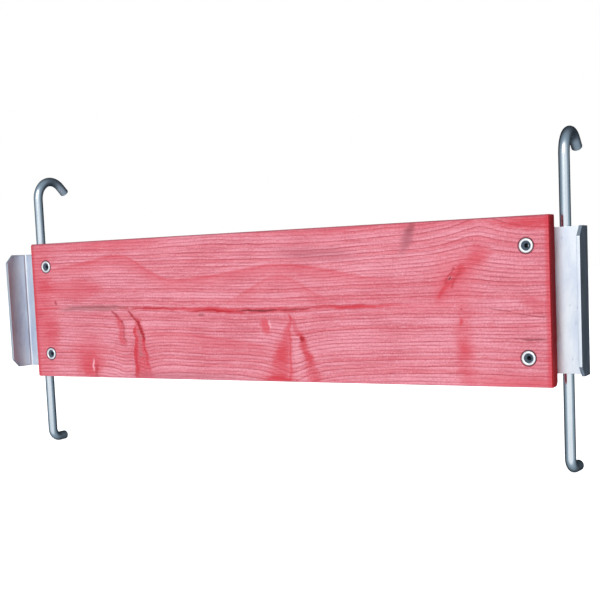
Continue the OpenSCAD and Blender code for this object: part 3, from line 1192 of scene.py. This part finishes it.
@dataclass
class EndBracket:
    """One bracket: a sheet bent square, with cut corners on its flange."""

    side: Side
    box: Box
    rivets: Sequence[Box]
    sheet_t: float = 3.0
    bend_r: float = 2.0
    corner_cut: float = 9.0
    hole_r: float = 5.1
    edge_round: float = 0.35
    bend_steps: int = 10

    def build(self) -> bpy.types.Object:
        """Builds the bracket: a flat blank that is bent, then drilled.

        Returns:
            The bracket as an object.
        """
        outer_r = self.bend_r + self.sheet_t
        leg = self.box.size.x - outer_r
        flange = self.box.size.y - outer_r
        arc = (self.bend_r + self.sheet_t / 2) * math.pi / 2
        blank = self._blank(leg + arc + flange)
        for step in range(self.bend_steps + 1):
            cut = leg + arc * step / self.bend_steps
            geometry = blank.verts[:] + blank.edges[:] + blank.faces[:]
            bmesh.ops.bisect_plane(blank, geom=geometry, plane_co=(cut, 0, 0), plane_no=(1, 0, 0), dist=1e-5)
        for vert in blank.verts:
            vert.co = self._bent(vert.co, leg, arc) * MM
        bmesh.ops.recalc_face_normals(blank, faces=blank.faces)
        made = as_object(blank, f"angle_bracket_{self.side.label}")
        back = self.box.high.y
        hole = [(self.hole_r, back - self.sheet_t - CUT_PAST), (self.hole_r, back + CUT_PAST)]
        carve(made, [lathe(hole, rivet.centre) for rivet in self.rivets])
        smooth_shade(made)
        return made

    def _blank(self, length: float) -> bmesh.types.BMesh:
        """The flat sheet with rounded cut edges, along X from 0, through Y and up Z."""
        low, high, cut = self.box.low.z, self.box.high.z, self.corner_cut
        lower = [(0, low), (length - cut, low), (length, low + cut)]
        outline = [*lower, (length, high - cut), (length - cut, high), (0, high)]
        blank = bmesh.new()
        face = blank.faces.new([blank.verts.new((s, 0, z)) for s, z in outline])
        grown = bmesh.ops.extrude_face_region(blank, geom=[face])
        raised = [item for item in grown["geom"] if isinstance(item, bmesh.types.BMVert)]
        bmesh.ops.translate(blank, verts=raised, vec=(0, self.sheet_t, 0))
        bmesh.ops.recalc_face_normals(blank, faces=blank.faces)
        rounding = {"offset": self.edge_round, "segments": 2, "profile": 0.5, "affect": "EDGES"}
        bmesh.ops.bevel(blank, geom=blank.edges[:], **rounding)
        return blank

    def _bent(self, flat: Vector, leg: float, arc: float) -> Vector:
        """Where a point of the flat sheet lies once it is bent.

        Args:
            flat: The point: distance along the sheet, depth from its inner face, and height.
            leg: Length of the straight back leg.
            arc: Length of the bend along the middle of the sheet.

        Returns:
            The point in the frame.
        """
        start = self.box.low.x if self.side is Side.RIGHT else -self.box.high.x
        bend_x = start + leg
        bend_y = self.box.high.y - self.bend_r - self.sheet_t
        radius = self.bend_r + flat.y
        if flat.x <= leg:
            x, y = start + flat.x, bend_y + radius
        elif flat.x < leg + arc:
            angle = (flat.x - leg) / arc * math.pi / 2
            x, y = bend_x + radius * math.sin(angle), bend_y + radius * math.cos(angle)
        else:
            x, y = bend_x + radius, bend_y - (flat.x - leg - arc)
        return Vector((x * self.side.value, y, flat.z))

    def dress(self, made: bpy.types.Object) -> None:
        """Gives the bracket its zinc."""
        low, high = self.box.low, self.box.high
        reach = max(abs(low.x), abs(high.x)) - self.bend_r - self.sheet_t
        finish = Galvanised(chalky=((0.0, high.y - 1.0, low.z - 2.0), (reach, high.y + 2.0, high.z + 2.0)))
        hand_over(made, finish.make(), [f"bracket_{self.side.label}"])


# ---- pieces by geometry nodes ----


class GeometryRecipe:
    """A geometry node tree with named inputs that turns an object's mesh into a finished piece."""

    def __init__(self, name: str, sizes: dict[str, float], finish: bpy.types.Material) -> None:
        """Starts the tree.

        Args:
            name: The tree's name.
            sizes: The named inputs and the values that this object gives them.
            finish: The material that the tree sets at its end.
        """
        self.tree = bpy.data.node_groups.new(name, "GeometryNodeTree")
        self.sizes = sizes
        self.finish = finish
        self.graph = Graph(self.tree)
        interface = self.tree.interface
        interface.new_socket("Geometry", in_out="INPUT", socket_type="NodeSocketGeometry")
        interface.new_socket("Geometry", in_out="OUTPUT", socket_type="NodeSocketGeometry")
        for size in sizes:
            interface.new_socket(size, in_out="INPUT", socket_type="NodeSocketFloat")
        self.inputs = self.graph.node("NodeGroupInput")

    def sweep(self, path: Value, steps: int, radius: Value, girth: Value) -> Value:
        """A round bar along a path, closed at its ends, with its girth from point to point."""
        size = {"Resolution": steps, "Radius": radius}
        circle = self.graph.node("GeometryNodeCurvePrimitiveCircle", None, size)["Curve"]
        inputs = {"Curve": path, "Profile Curve": circle, "Scale": girth, "Fill Caps": True}
        return self.graph.node("GeometryNodeCurveToMesh", None, inputs)["Mesh"]

    def close(self, geometry: Value) -> None:
        """Ends the tree: real geometry with its material."""
        real = self.graph.node("GeometryNodeRealizeInstances", None, {"Geometry": geometry})["Geometry"]
        inputs = {"Geometry": real, "Material": self.finish}
        dressed = self.graph.node("GeometryNodeSetMaterial", None, inputs)["Geometry"]
        self.graph.node("NodeGroupOutput", None, {"Geometry": dressed})

    def apply(self, made: bpy.types.Object) -> None:
        """Runs the tree on an object and keeps the result as its plain mesh."""
        modifier = made.modifiers.new(self.tree.name, "NODES")
        modifier.node_group = self.tree
        for item in self.tree.interface.items_tree:
            if item.in_out == "INPUT" and item.name in self.sizes:
                modifier[item.identifier] = float(self.sizes[item.name])
        settle(made)


def path_object(name: str, points: Sequence[Vector], closed: bool = False) -> bpy.types.Object:
    """Makes a line of edges through points.

    Args:
        name: The object's name.
        points: The points, in millimetres.
        closed: Whether the last point joins the first.

    Returns:
        The object, linked to the scene.
    """
    mesh = bpy.data.meshes.new(name)
    edges = [(i, i + 1) for i in range(len(points) - 1)]
    if closed:
        edges.append((len(points) - 1, 0))
    mesh.from_pydata([point * MM for point in points], edges, [])
    return placed(mesh)


@dataclass
class HookRod:
    """One bent round bar: a hook above, a straight shaft and a short foot."""

    side: Side
    box: Box
    rod_d: float = 10.0
    hook_r: float = 21.5
    hook_angle_deg: float = 132.0
    hook_end: float = 10.0
    foot_r: float = 10.0
    foot_end: float = 9.0
    foot_turn_deg: float = 0.0
    arc_step_deg: float = 4.0
    shaft_spans: int = 24
    profile_steps: int = 40
    smooth_deg: float = 30.0

    # distance from the cut end, and the bar's girth there
    END_GIRTH = ((0.75, 1.0), (0.42, 0.985), (0.16, 0.93), (0.0, 0.855))

    def path(self) -> tuple[list[Vector], list[float]]:
        """The middle line of the bar from its foot's tip to its hook's tip.

        Returns:
            The points, and the bar's girth at each as a share of its full diameter.
        """
        radius = self.rod_d / 2
        axis_x = self.box.centre.x
        axis_y = self.box.low.y + radius
        foot_z = self.box.low.z + radius + self.foot_r
        hook_z = self.box.high.z - radius - self.hook_r
        foot = self._bend(axis_x, axis_y, foot_z, self.foot_r, 90.0, self.foot_end, -1.0)
        hook = self._bend(axis_x, axis_y, hook_z, self.hook_r, self.hook_angle_deg, self.hook_end, 1.0)
        axis = Vector((axis_x, axis_y, 0))
        turn = Matrix.Rotation(math.radians(self.foot_turn_deg), 3, "Z")
        foot = [(axis + turn @ (point - axis), girth) for point, girth in foot]
        spans = self.shaft_spans
        shaft = [Vector((axis_x, axis_y, foot_z + (hook_z - foot_z) * i / spans)) for i in range(1, spans)]
        line = foot[::-1] + [(point, 1.0) for point in shaft] + hook
        return [point for point, _ in line], [girth for _, girth in line]

    def _bend(
        self, x: float, y: float, z: float, radius: float, angle_deg: float, straight: float, up: float
    ) -> list[tuple[Vector, float]]:
        """One bend towards the back and the straight end after it.

        Args:
            x, y, z: Where the bend starts.
            radius: Its radius to the middle of the bar.
            angle_deg: The angle that it turns through.
            straight: Length of the straight end.
            up: 1 for a bend above the shaft, -1 for one below.

        Returns:
            The points with their girths.
        """
        steps = round(angle_deg / self.arc_step_deg)
        found = []
        for step in range(steps + 1):
            angle = math.radians(angle_deg) * step / steps
            rise = radius * math.sin(angle) * up
            found.append((Vector((x, y + radius * (1 - math.cos(angle)), z + rise)), 1.0))
        last = found[-1][0]
        turned = math.radians(angle_deg)
        ahead = Vector((0, math.sin(turned), math.cos(turned) * up))
        found.append((last + ahead * straight * 0.5, 1.0))
        for short, girth in self.END_GIRTH:
            found.append((last + ahead * (straight - short), girth))
        return found

    def build(self, finish: bpy.types.Material) -> bpy.types.Object:
        """Builds the bar by sweeping a circle along its path.

        Args:
            finish: The bar's material.

        Returns:
            The bar as an object.
        """
        points, girths = self.path()
        made = path_object(f"bent_rod_{self.side.label}", points)
        girth = made.data.attributes.new("girth", "FLOAT", "POINT")
        girth.data.foreach_set("value", girths)
        recipe = GeometryRecipe("bent_bar", {"Bar Radius": self.rod_d / 2 * MM}, finish)
        graph = recipe.graph
        line = graph.node("GeometryNodeMeshToCurve", None, {"Mesh": recipe.inputs["Geometry"]})["Curve"]
        share = graph.node("GeometryNodeInputNamedAttribute", {"data_type": "FLOAT"}, {"Name": "girth"})
        recipe.close(recipe.sweep(line, self.profile_steps, recipe.inputs["Bar Radius"], share["Attribute"]))
        recipe.apply(made)
        smooth_shade(made, self.smooth_deg)
        return made

    def dress(self, made: bpy.types.Object, slot: str) -> None:
        """Puts the bar in the place of its CAD node."""
        hand_over(made, made.data.materials[0], [f"hook_rod_{self.side.label}"])


@dataclass
class HollowRivets:
    """The four hollow rivets, one turned section set at each place."""

    boxes: Sequence[Box]
    nodes: Sequence[str]
    bore_r: float = 4.0
    shank_r: float = 5.0
    head_r: float = 6.5
    head_foot: float = 0.35
    back_bore_r: float = 2.0
    neck_depth: float = 1.9
    turn_steps: int = 72
    roll_steps: int = 12
    most_turn: float = 6.28
    smooth_deg: float = 50.0
    seed: int = 5

    def section(self) -> Outline:
        """Half of a rivet cut along its axis: radius, and height above the rivet's middle."""
        half = self.boxes[0].size.y / 2
        roll = (self.head_r - self.bore_r) / 2
        middle = self.bore_r + roll
        outline: Outline = []
        for end in (1, -1):
            seat = half - roll - self.head_foot
            arc = []
            for step in range(self.roll_steps + 1):
                angle = math.pi * step / self.roll_steps
                arc.append((middle + roll * math.cos(angle), end * (half - roll + roll * math.sin(angle))))
            if end == -1:
                arc.append((self.back_bore_r, end * (half - self.neck_depth * roll)))
            head = [(self.shank_r, end * seat), (self.head_r, end * seat), *arc]
            outline += head if end == 1 else head[::-1]
        return outline

    def build(self, finish: bpy.types.Material) -> bpy.types.Object:
        """Builds the rivets by turning the section and setting a copy at each place.

        Args:
            finish: The rivets' material.

        Returns:
            The four rivets as one object.
        """
        points = [Vector((radius - self.bore_r, height, 0)) for radius, height in self.section()]
        made = path_object("hollow_rivets", points, closed=True)
        centres = [box.centre for box in self.boxes]
        spread_x = max(c.x for c in centres) - min(c.x for c in centres)
        spread_z = max(c.z for c in centres) - min(c.z for c in centres)
        sizes = {"Bore Radius": self.bore_r, "Spread X": spread_x, "Spread Z": spread_z}
        sizes["Depth"] = centres[0].y
        sizes = {name: size * MM for name, size in sizes.items()}
        recipe = GeometryRecipe("hollow_rivet", sizes, finish)
        graph, inputs = recipe.graph, recipe.inputs
        section = graph.node("GeometryNodeMeshToCurve", None, {"Mesh": inputs["Geometry"]})["Curve"]
        turn = {"Resolution": self.turn_steps, "Radius": inputs["Bore Radius"]}
        circle = graph.node("GeometryNodeCurvePrimitiveCircle", None, turn)["Curve"]
        circle = graph.node("GeometryNodeSetCurveNormal", {"mode": "Z_UP"}, {"Curve": circle})["Curve"]
        lathed = {"Curve": circle, "Profile Curve": section}
        turned = graph.node("GeometryNodeCurveToMesh", None, lathed)["Mesh"]
        grid = {"Size X": inputs["Spread X"], "Size Y": inputs["Spread Z"], "Vertices X": 2, "Vertices Y": 2}
        places = graph.node("GeometryNodeMeshGrid", None, grid)["Mesh"]
        upright = {"Geometry": places, "Rotation": (math.pi / 2, 0, 0)}
        upright["Translation"] = graph.xyz(0.0, inputs["Depth"], 0.0)
        places = graph.node("GeometryNodeTransform", None, upright)["Geometry"]
        draw = {"Min_001": 0.0, "Max_001": self.most_turn, "Seed": self.seed}
        spin = graph.node("FunctionNodeRandomValue", {"data_type": "FLOAT"}, draw)["Value_001"]
        base, own_turn = (
            graph.node("FunctionNodeEulerToRotation", None, {"Euler": angles})["Rotation"]
            for angles in (graph.xyz(math.pi / 2, 0.0, 0.0), graph.xyz(0.0, 0.0, spin))
        )
        turns = {"Rotation": base, "Rotate By": own_turn}
        both = graph.node("FunctionNodeRotateRotation", {"rotation_space": "LOCAL"}, turns)["Rotation"]
        stand = {"Points": places, "Instance": turned, "Rotation": both}
        recipe.close(graph.node("GeometryNodeInstanceOnPoints", None, stand)["Instances"])
        recipe.apply(made)
        smooth_shade(made, self.smooth_deg)
        return made

    def dress(self, made: bpy.types.Object, slot: str) -> None:
        """Puts the rivets in the place of their CAD nodes."""
        hand_over(made, made.data.materials[0], self.nodes)


@dataclass
class WeldBeads:
    """The eight fillet beads between the bars and the brackets, rippled along their length."""

    boxes: Sequence[Box]
    nodes: Sequence[str]
    bead_r: float = 2.5
    ripple_gap: float = 1.7
    ripple: float = 0.085
    end_gap: float = 1.0
    toe_gap: float = 0.05
    axis_share: float = 0.62
    tip_girth: float = 0.2
    tip_power: float = 14.0
    lump: float = 0.45
    lump_scale: float = 420.0
    samples: int = 110
    profile_steps: int = 22
    smooth_deg: float = 60.0
    seed: int = 3

    def places(self) -> list[Vector]:
        """The middle of each bead's axis, two for each pair of welds."""
        found = []
        for box in self.boxes:
            for side in (-1, 1):
                x = box.centre.x + side * (box.size.x / 2 - self.bead_r - self.toe_gap)
                found.append(Vector((x, box.low.y + self.bead_r * self.axis_share, box.centre.z)))
        return found

    def build(self, finish: bpy.types.Material) -> bpy.types.Object:
        """Builds the beads by sweeping a round section whose girth ripples.

        Args:
            finish: The weld metal's material.

        Returns:
            The eight beads as one object.
        """
        mesh = bpy.data.meshes.new("weld_beads")
        mesh.from_pydata([place * MM for place in self.places()], [], [])
        made = placed(mesh)
        length = self.boxes[0].size.z
        sizes = {
            "Bead Length": (length - self.end_gap) * MM,
            "Bead Radius": self.bead_r * MM,
            "Ripples": length / self.ripple_gap,
            "Ripple Height": self.ripple,
        }
        recipe = GeometryRecipe("weld_bead", sizes, finish)
        graph, inputs = recipe.graph, recipe.inputs
        half = inputs["Bead Length"] / 2
        ends = {"Start": graph.xyz(0.0, 0.0, half * -1), "End": graph.xyz(0.0, 0.0, half)}
        line = graph.node("GeometryNodeCurvePrimitiveLine", None, ends)["Curve"]
        line = graph.node("GeometryNodeResampleCurve", None, {"Curve": line, "Count": self.samples})["Curve"]
        along = graph.node("GeometryNodeSplineParameter")["Factor"]
        wave = (along * inputs["Ripples"]).math("FRACT")
        crest = (wave * math.pi).math("SINE") * inputs["Ripple Height"]
        taper = (1 - abs(along * 2 - 1) ** self.tip_power) ** 0.5
        girth = (crest + (1 - inputs["Ripple Height"])) * (taper * (1 - self.tip_girth) + self.tip_girth)
        bead = recipe.sweep(line, self.profile_steps, inputs["Bead Radius"], girth)
        stand = {"Points": inputs["Geometry"], "Instance": bead}
        beads = graph.node("GeometryNodeInstanceOnPoints", None, stand)["Instances"]
        beads = graph.node("GeometryNodeRealizeInstances", None, {"Geometry": beads})["Geometry"]
        place = graph.node("GeometryNodeInputPosition")["Position"]
        seeded = graph.vector("ADD", place, (self.seed, self.seed, self.seed))["Vector"]
        lumps = graph.noises(seeded, self.lump_scale)["Color"]
        shift = graph.scaled(graph.vector("SUBTRACT", lumps, HALVES)["Vector"], self.lump * MM)
        beads = graph.node("GeometryNodeSetPosition", None, {"Geometry": beads, "Offset": shift})["Geometry"]
        recipe.close(beads)
        recipe.apply(made)
        smooth_shade(made, self.smooth_deg)
        return made

    def dress(self, made: bpy.types.Object, slot: str) -> None:
        """Puts the beads in the place of their CAD nodes."""
        hand_over(made, made.data.materials[0], self.nodes)


# ---- studio ----


@dataclass(frozen=True)
class SoftLight:
    """One square soft light that points at the object's middle."""

    name: str
    place_m: Point
    width_m: float
    watts: float
    colour: tuple[float, float, float] = (1.0, 1.0, 1.0)
    shines: bool = True

    def hang(self, target: Vector) -> None:
        """Adds the light to the scene, aimed at a point."""
        data = bpy.data.lights.new(self.name, "AREA")
        data.shape = "SQUARE"
        data.size = self.width_m
        data.energy = self.watts
        data.color = self.colour
        lamp = bpy.data.objects.new(self.name, data)
        lamp.location = self.place_m
        lamp.visible_glossy = self.shines
        aim = target - Vector(self.place_m)
        lamp.rotation_mode = "QUATERNION"
        lamp.rotation_quaternion = aim.to_track_quat("-Z", "Y")
        bpy.context.scene.collection.objects.link(lamp)


@dataclass
class Studio:
    """The floor, backdrop, lights and sky."""

    radius_m: float = 12.0
    dome_inset_m: float = 0.2
    floor_steps: int = 96
    dome_steps: tuple[int, int] = (48, 24)
    bright_way: Point = (0.34, -0.94, 0.0)

    SKY = (
        (0.0, (0.024, 0.031, 0.037, 1)),
        (0.12, (0.028, 0.036, 0.043, 1)),
        (0.30, (0.09, 0.105, 0.125, 1)),
        (0.50, (0.26, 0.31, 0.35, 1)),
        (0.74, (0.35, 0.43, 0.50, 1)),
        (0.87, (1.0, 1.0, 1.0, 1)),
    )
    LIGHTS = (
        SoftLight("key_light", (0.5, -2.7, 1.5), 1.6, 34.0, (1.0, 0.99, 0.98)),
        SoftLight("back_light", (-0.9, 1.9, 2.4), 1.2, 30.0, (0.98, 0.99, 1.0), shines=False),
    )

    def build(self) -> None:
        """Builds the whole studio."""
        low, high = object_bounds()
        self._floor(low.z)
        self._backdrop(low.z)
        for light in self.LIGHTS:
            light.hang((low + high) / 2)
        self._sky()

    def _floor(self, height: float) -> None:
        """Lays the floor at a height, in metres."""
        disc = bmesh.new()
        bmesh.ops.create_circle(disc, cap_ends=True, segments=self.floor_steps, radius=self.radius_m)
        bmesh.ops.translate(disc, verts=disc.verts, vec=(0, 0, height))
        floor = as_object(disc, "studio_floor")
        floor.data.materials.append(StudioFloor().make())
        floor.visible_glossy = False
        floor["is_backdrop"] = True

    def _backdrop(self, height: float) -> None:
        """Hangs a white dome that is seen behind the object and lights nothing."""
        dome = bmesh.new()
        round_steps, up_steps = self.dome_steps
        radius = self.radius_m - self.dome_inset_m
        bmesh.ops.create_uvsphere(dome, u_segments=round_steps, v_segments=up_steps, radius=radius)
        bmesh.ops.translate(dome, verts=dome.verts, vec=(0, 0, height))
        bmesh.ops.reverse_faces(dome, faces=dome.faces)
        backdrop = as_object(dome, "studio_backdrop")
        backdrop.data.materials.append(StudioWall().make())
        for ray in ("diffuse", "glossy", "transmission", "volume_scatter", "shadow"):
            setattr(backdrop, f"visible_{ray}", False)
        backdrop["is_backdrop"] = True

    def _sky(self) -> None:
        """Fills the world: bright in front of the object, dim at its sides and dark behind it."""
        world = bpy.data.worlds.new("studio_sky")
        bpy.context.scene.world = world
        world.use_nodes = True
        graph = Graph(world.node_tree)
        along = graph.node("ShaderNodeTexCoord")["Generated"]
        facing = graph.vector("DOT_PRODUCT", along, self.bright_way)["Value"]
        settings = {"stops": self.SKY}
        sky = graph.node("ShaderNodeValToRGB", settings, {"Fac": facing * 0.5 + 0.5})["Color"]
        shader = graph.node("ShaderNodeBackground", None, {"Color": sky, "Strength": 1.0})["Background"]
        graph.node("ShaderNodeOutputWorld", None, {"Surface": shader})


@dataclass
class Viewpoint:
    """The camera: where it stands, how it is turned and what it frames."""

    place: Point = (549.727, -846.497, 41.202)
    yaw_deg: float = 28.062
    pitch_deg: float = 4.736
    roll_deg: float = -2.305
    focal_share: float = 1.678202
    shift: tuple[float, float] = (-0.07561, 0.07555)
    sensor: float = 36.0

    def build(self) -> None:
        """Adds the camera and makes it the scene's."""
        yaw, pitch, roll = (math.radians(a) for a in (self.yaw_deg, self.pitch_deg, self.roll_deg))
        ahead = Vector((-math.sin(yaw) * math.cos(pitch), math.cos(yaw) * math.cos(pitch), -math.sin(pitch)))
        level = Vector((math.cos(yaw), math.sin(yaw), 0))
        upward = level.cross(ahead)
        right = level * math.cos(roll) + upward * math.sin(roll)
        top = upward * math.cos(roll) - level * math.sin(roll)
        data = bpy.data.cameras.new("camera")
        data.sensor_width = self.sensor
        data.lens = self.sensor * self.focal_share
        data.shift_x, data.shift_y = self.shift
        camera = bpy.data.objects.new("camera", data)
        turned = Matrix((right, top, -ahead)).transposed().to_4x4()
        camera.matrix_world = Matrix.Translation(Vector(self.place) * MM) @ turned
        bpy.context.scene.collection.objects.link(camera)
        bpy.context.scene.camera = camera


# ---- the whole object ----


def corner_nodes(kind: str) -> list[str]:
    """The names of the four CAD nodes of one kind, one at each corner."""
    return [f"{kind}_{side.label}_{level}" for side in Side for level in ("top", "bottom")]


def main() -> None:
    """Builds every sub-assembly in order, then the studio."""
    logging.basicConfig(level=logging.INFO, format="%(name)s: %(message)s")
    settings = bpy.context.scene.view_settings
    settings.view_transform = "Standard"
    settings.look = "None"
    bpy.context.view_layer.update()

    rivet_nodes = corner_nodes("rivet")
    rivet_boxes = {node: Box.of(node) for node in rivet_nodes}
    board = Board(Box.of("board"), list(rivet_boxes.values()))
    board.dress(board.build())

    bar_material = BAR_ZINC.make()
    for side in Side:
        own = [box for node, box in rivet_boxes.items() if side.label in node]
        bracket = EndBracket(side, Box.of(f"bracket_{side.label}"), own)
        bracket.dress(bracket.build())
        rod = HookRod(side, Box.of(f"hook_rod_{side.label}"), foot_turn_deg=side.foot_turn_deg)
        rod.dress(rod.build(bar_material), BAR_ZINC.slot)

    rivets = HollowRivets(list(rivet_boxes.values()), rivet_nodes)
    rivets.dress(rivets.build(RIVET_ZINC.make()), RIVET_ZINC.slot)

    weld_nodes = corner_nodes("weld")
    welds = WeldBeads([Box.of(node) for node in weld_nodes], weld_nodes)
    welds.dress(welds.build(WELD_METAL.make()), WELD_METAL.slot)

    Studio().build()
    Viewpoint().build()


if __name__ == "__main__":
    main()
